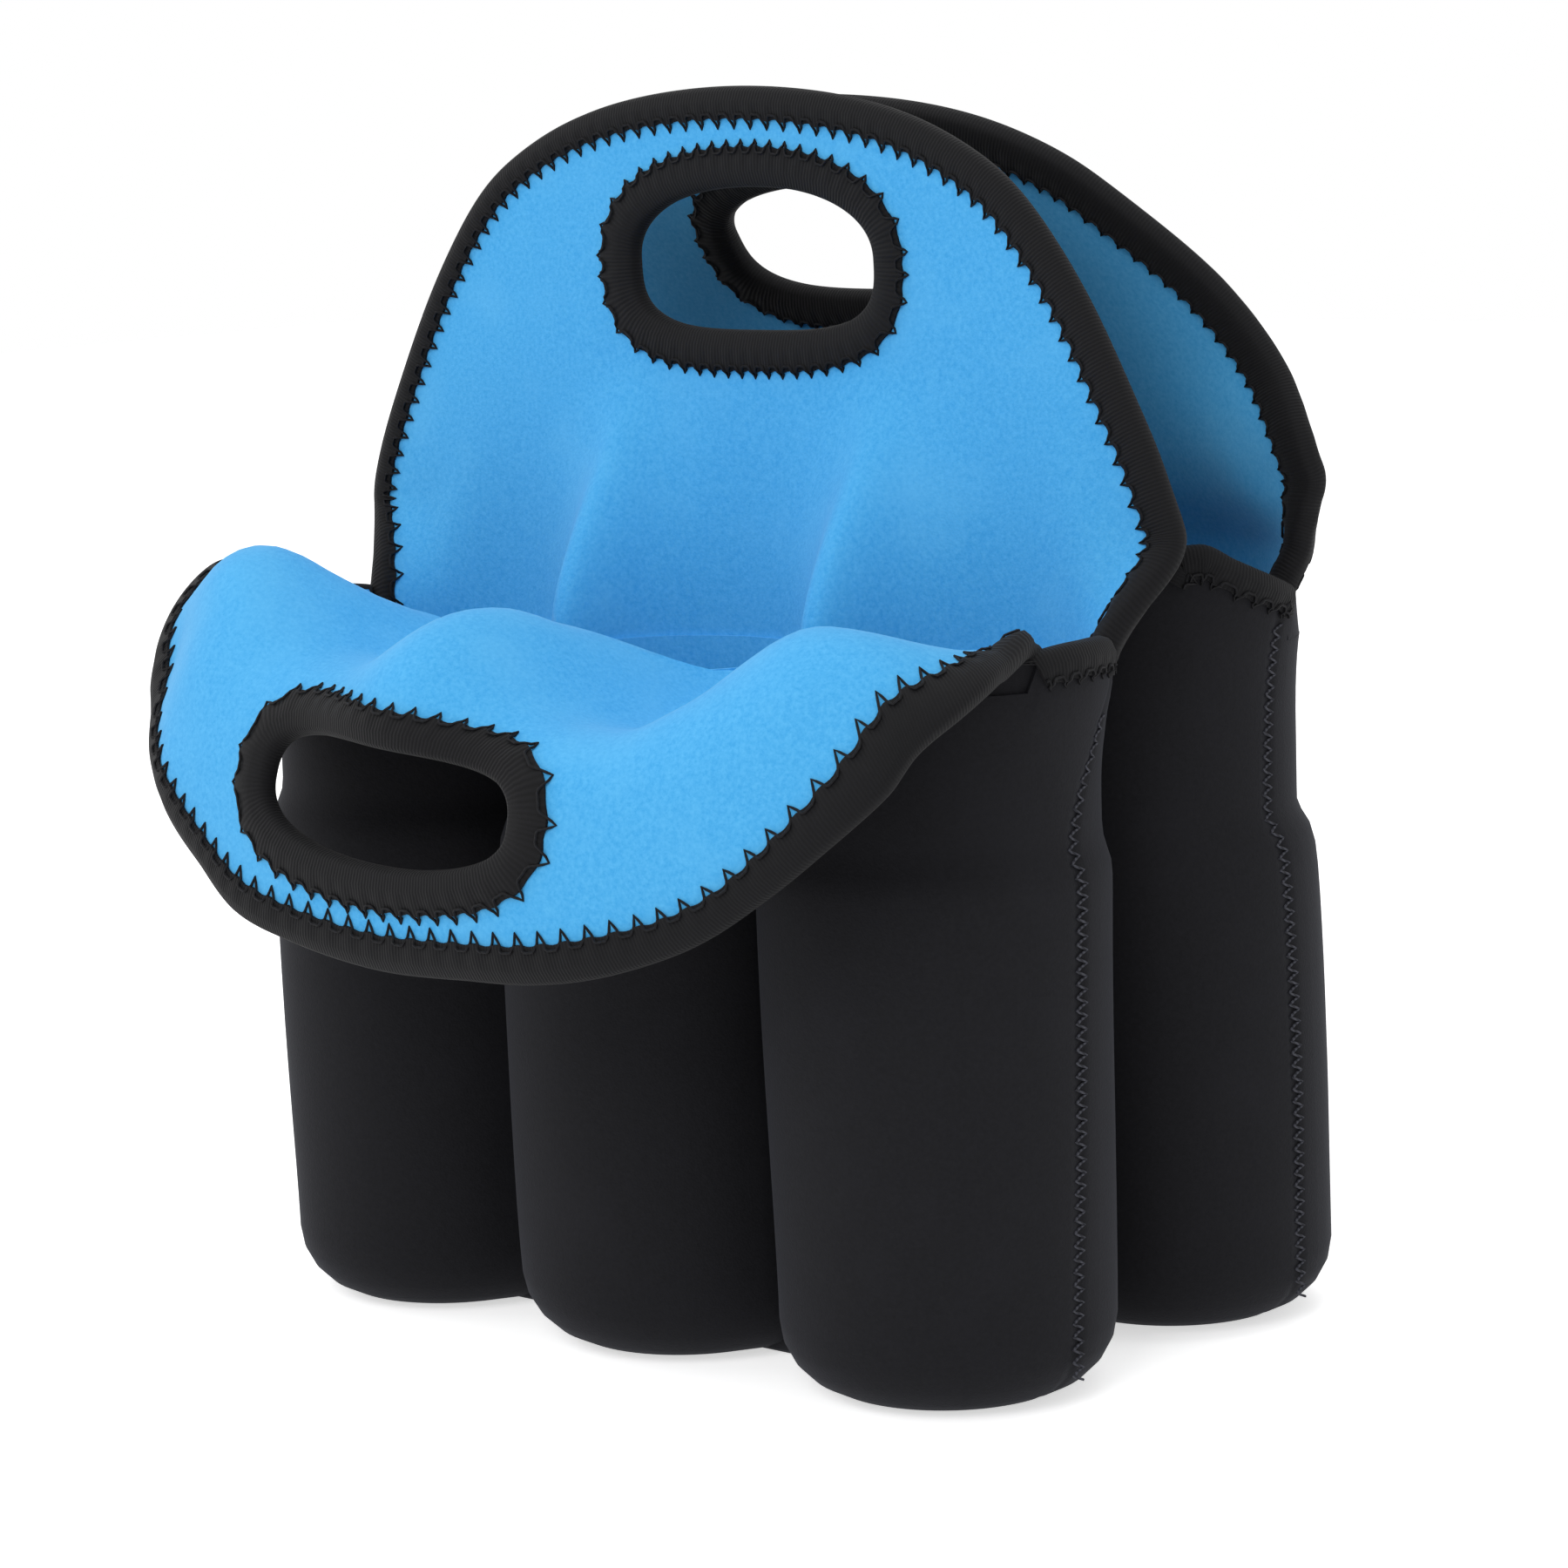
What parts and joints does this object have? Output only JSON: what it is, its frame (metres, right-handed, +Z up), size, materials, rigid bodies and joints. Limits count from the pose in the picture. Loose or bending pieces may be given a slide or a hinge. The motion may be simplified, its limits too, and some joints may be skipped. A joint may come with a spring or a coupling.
{
  "type": "insulated drinks carrier",
  "caption": "Soft foam carrier with round insulated pockets in two banks and three fold-over flaps, each with a bound oval hand slot.",
  "frame": {"origin": "centre of the front middle pocket's underside, on the plane that the carrier stands on", "axes": "+X across the three pockets to the right as seen from the folded flap's side, +Y from the front bank to the rear bank, +Z up"},
  "size_m": [0.235, 0.1994, 0.271],
  "materials": {
    "neoprene": "black foam rubber faced with a matt nylon knit",
    "lining": "bright blue nylon jersey, matt with a soft sheen",
    "tape": "black ribbed polyester binding tape, matt",
    "thread": "black polyester thread in zigzag stitches, slightly shiny"
  },
  "bodies": {
    "front_bank": {"front_bank_shell": "neoprene", "front_left_pocket_lining": "lining", "front_middle_pocket_lining": "lining", "front_right_pocket_lining": "lining", "front_mouth_lining": "lining", "front_left_side_seam": "thread", "front_left_divider_seam": "thread", "front_left_saddle_binding": "tape", "front_right_side_seam": "thread", "front_right_divider_seam": "thread", "front_right_saddle_binding": "tape"},
    "rear_bank": {"rear_bank_shell": "neoprene", "rear_left_pocket_lining": "lining", "rear_middle_pocket_lining": "lining", "rear_right_pocket_lining": "lining", "rear_left_mouth_lining": "lining", "rear_right_mouth_lining": "lining", "rear_left_side_seam": "thread", "rear_left_divider_seam": "thread", "rear_left_saddle_binding": "tape", "rear_right_side_seam": "thread", "rear_right_divider_seam": "thread", "rear_right_saddle_binding": "tape", "bank_join_tape": "tape"},
    "front_fold_lower": {"front_fold_lower_shell": "neoprene", "front_fold_lower_lining": "lining", "front_fold_lower_left_binding": "tape", "front_fold_lower_right_binding": "tape"},
    "front_fold_upper": {"front_fold_upper_shell": "neoprene", "front_fold_upper_lining": "lining", "front_fold_upper_left_binding": "tape", "front_fold_upper_right_binding": "tape"},
    "front_flap": {"front_flap_shell": "neoprene", "front_flap_lining": "lining", "front_flap_edge_binding": "tape", "front_flap_slot_binding": "tape", "front_flap_edge_stitching": "thread", "front_flap_slot_stitching": "thread"},
    "middle_flap": {"middle_flap_shell": "neoprene", "middle_flap_lining": "lining", "middle_flap_edge_binding": "tape", "middle_flap_slot_binding": "tape", "middle_flap_edge_stitching": "thread", "middle_flap_slot_stitching": "thread"},
    "rear_flap": {"rear_flap_shell": "neoprene", "rear_flap_lining": "lining", "rear_flap_edge_binding": "tape", "rear_flap_slot_binding": "tape", "rear_flap_edge_stitching": "thread", "rear_flap_slot_stitching": "thread"}
  },
  "joints": [
    {"name": "rear_bank_splay", "type": "hinge", "parent": "front_bank", "child": "rear_bank", "pos_m": [0, 0.0353, 0.1533], "axis": [1, 0, 0], "range_deg": [0, 4]},
    {"name": "front_fold_lower_bend", "type": "hinge", "parent": "front_bank", "child": "front_fold_lower", "pos_m": [0, -0.0375, 0.1545], "axis": [-1, 0, 0], "range_deg": [0, 60]},
    {"name": "front_fold_upper_bend", "type": "hinge", "parent": "front_fold_lower", "child": "front_fold_upper", "pos_m": [0, -0.06045, 0.16775], "axis": [-1, 0, 0], "range_deg": [0, 60]},
    {"name": "front_flap_bend", "type": "hinge", "parent": "front_fold_upper", "child": "front_flap", "pos_m": [0, -0.0834, 0.1545], "axis": [-1, 0, 0], "range_deg": [0, 60]},
    {"name": "middle_flap_lean", "type": "hinge", "parent": "front_bank", "child": "middle_flap", "pos_m": [0, 0.033, 0.1545], "axis": [1, 0, 0], "range_deg": [0, 30]},
    {"name": "rear_flap_fold", "type": "hinge", "parent": "rear_bank", "child": "rear_flap", "pos_m": [0, 0.1059, 0.1543], "axis": [-1, 0, 0], "range_deg": [0, 180]}
  ],
  "couplings": [
    {"joint": "front_fold_upper_bend", "follows": "front_fold_lower_bend", "ratio": 1},
    {"joint": "front_flap_bend", "follows": "front_fold_lower_bend", "ratio": 1}
  ]
}
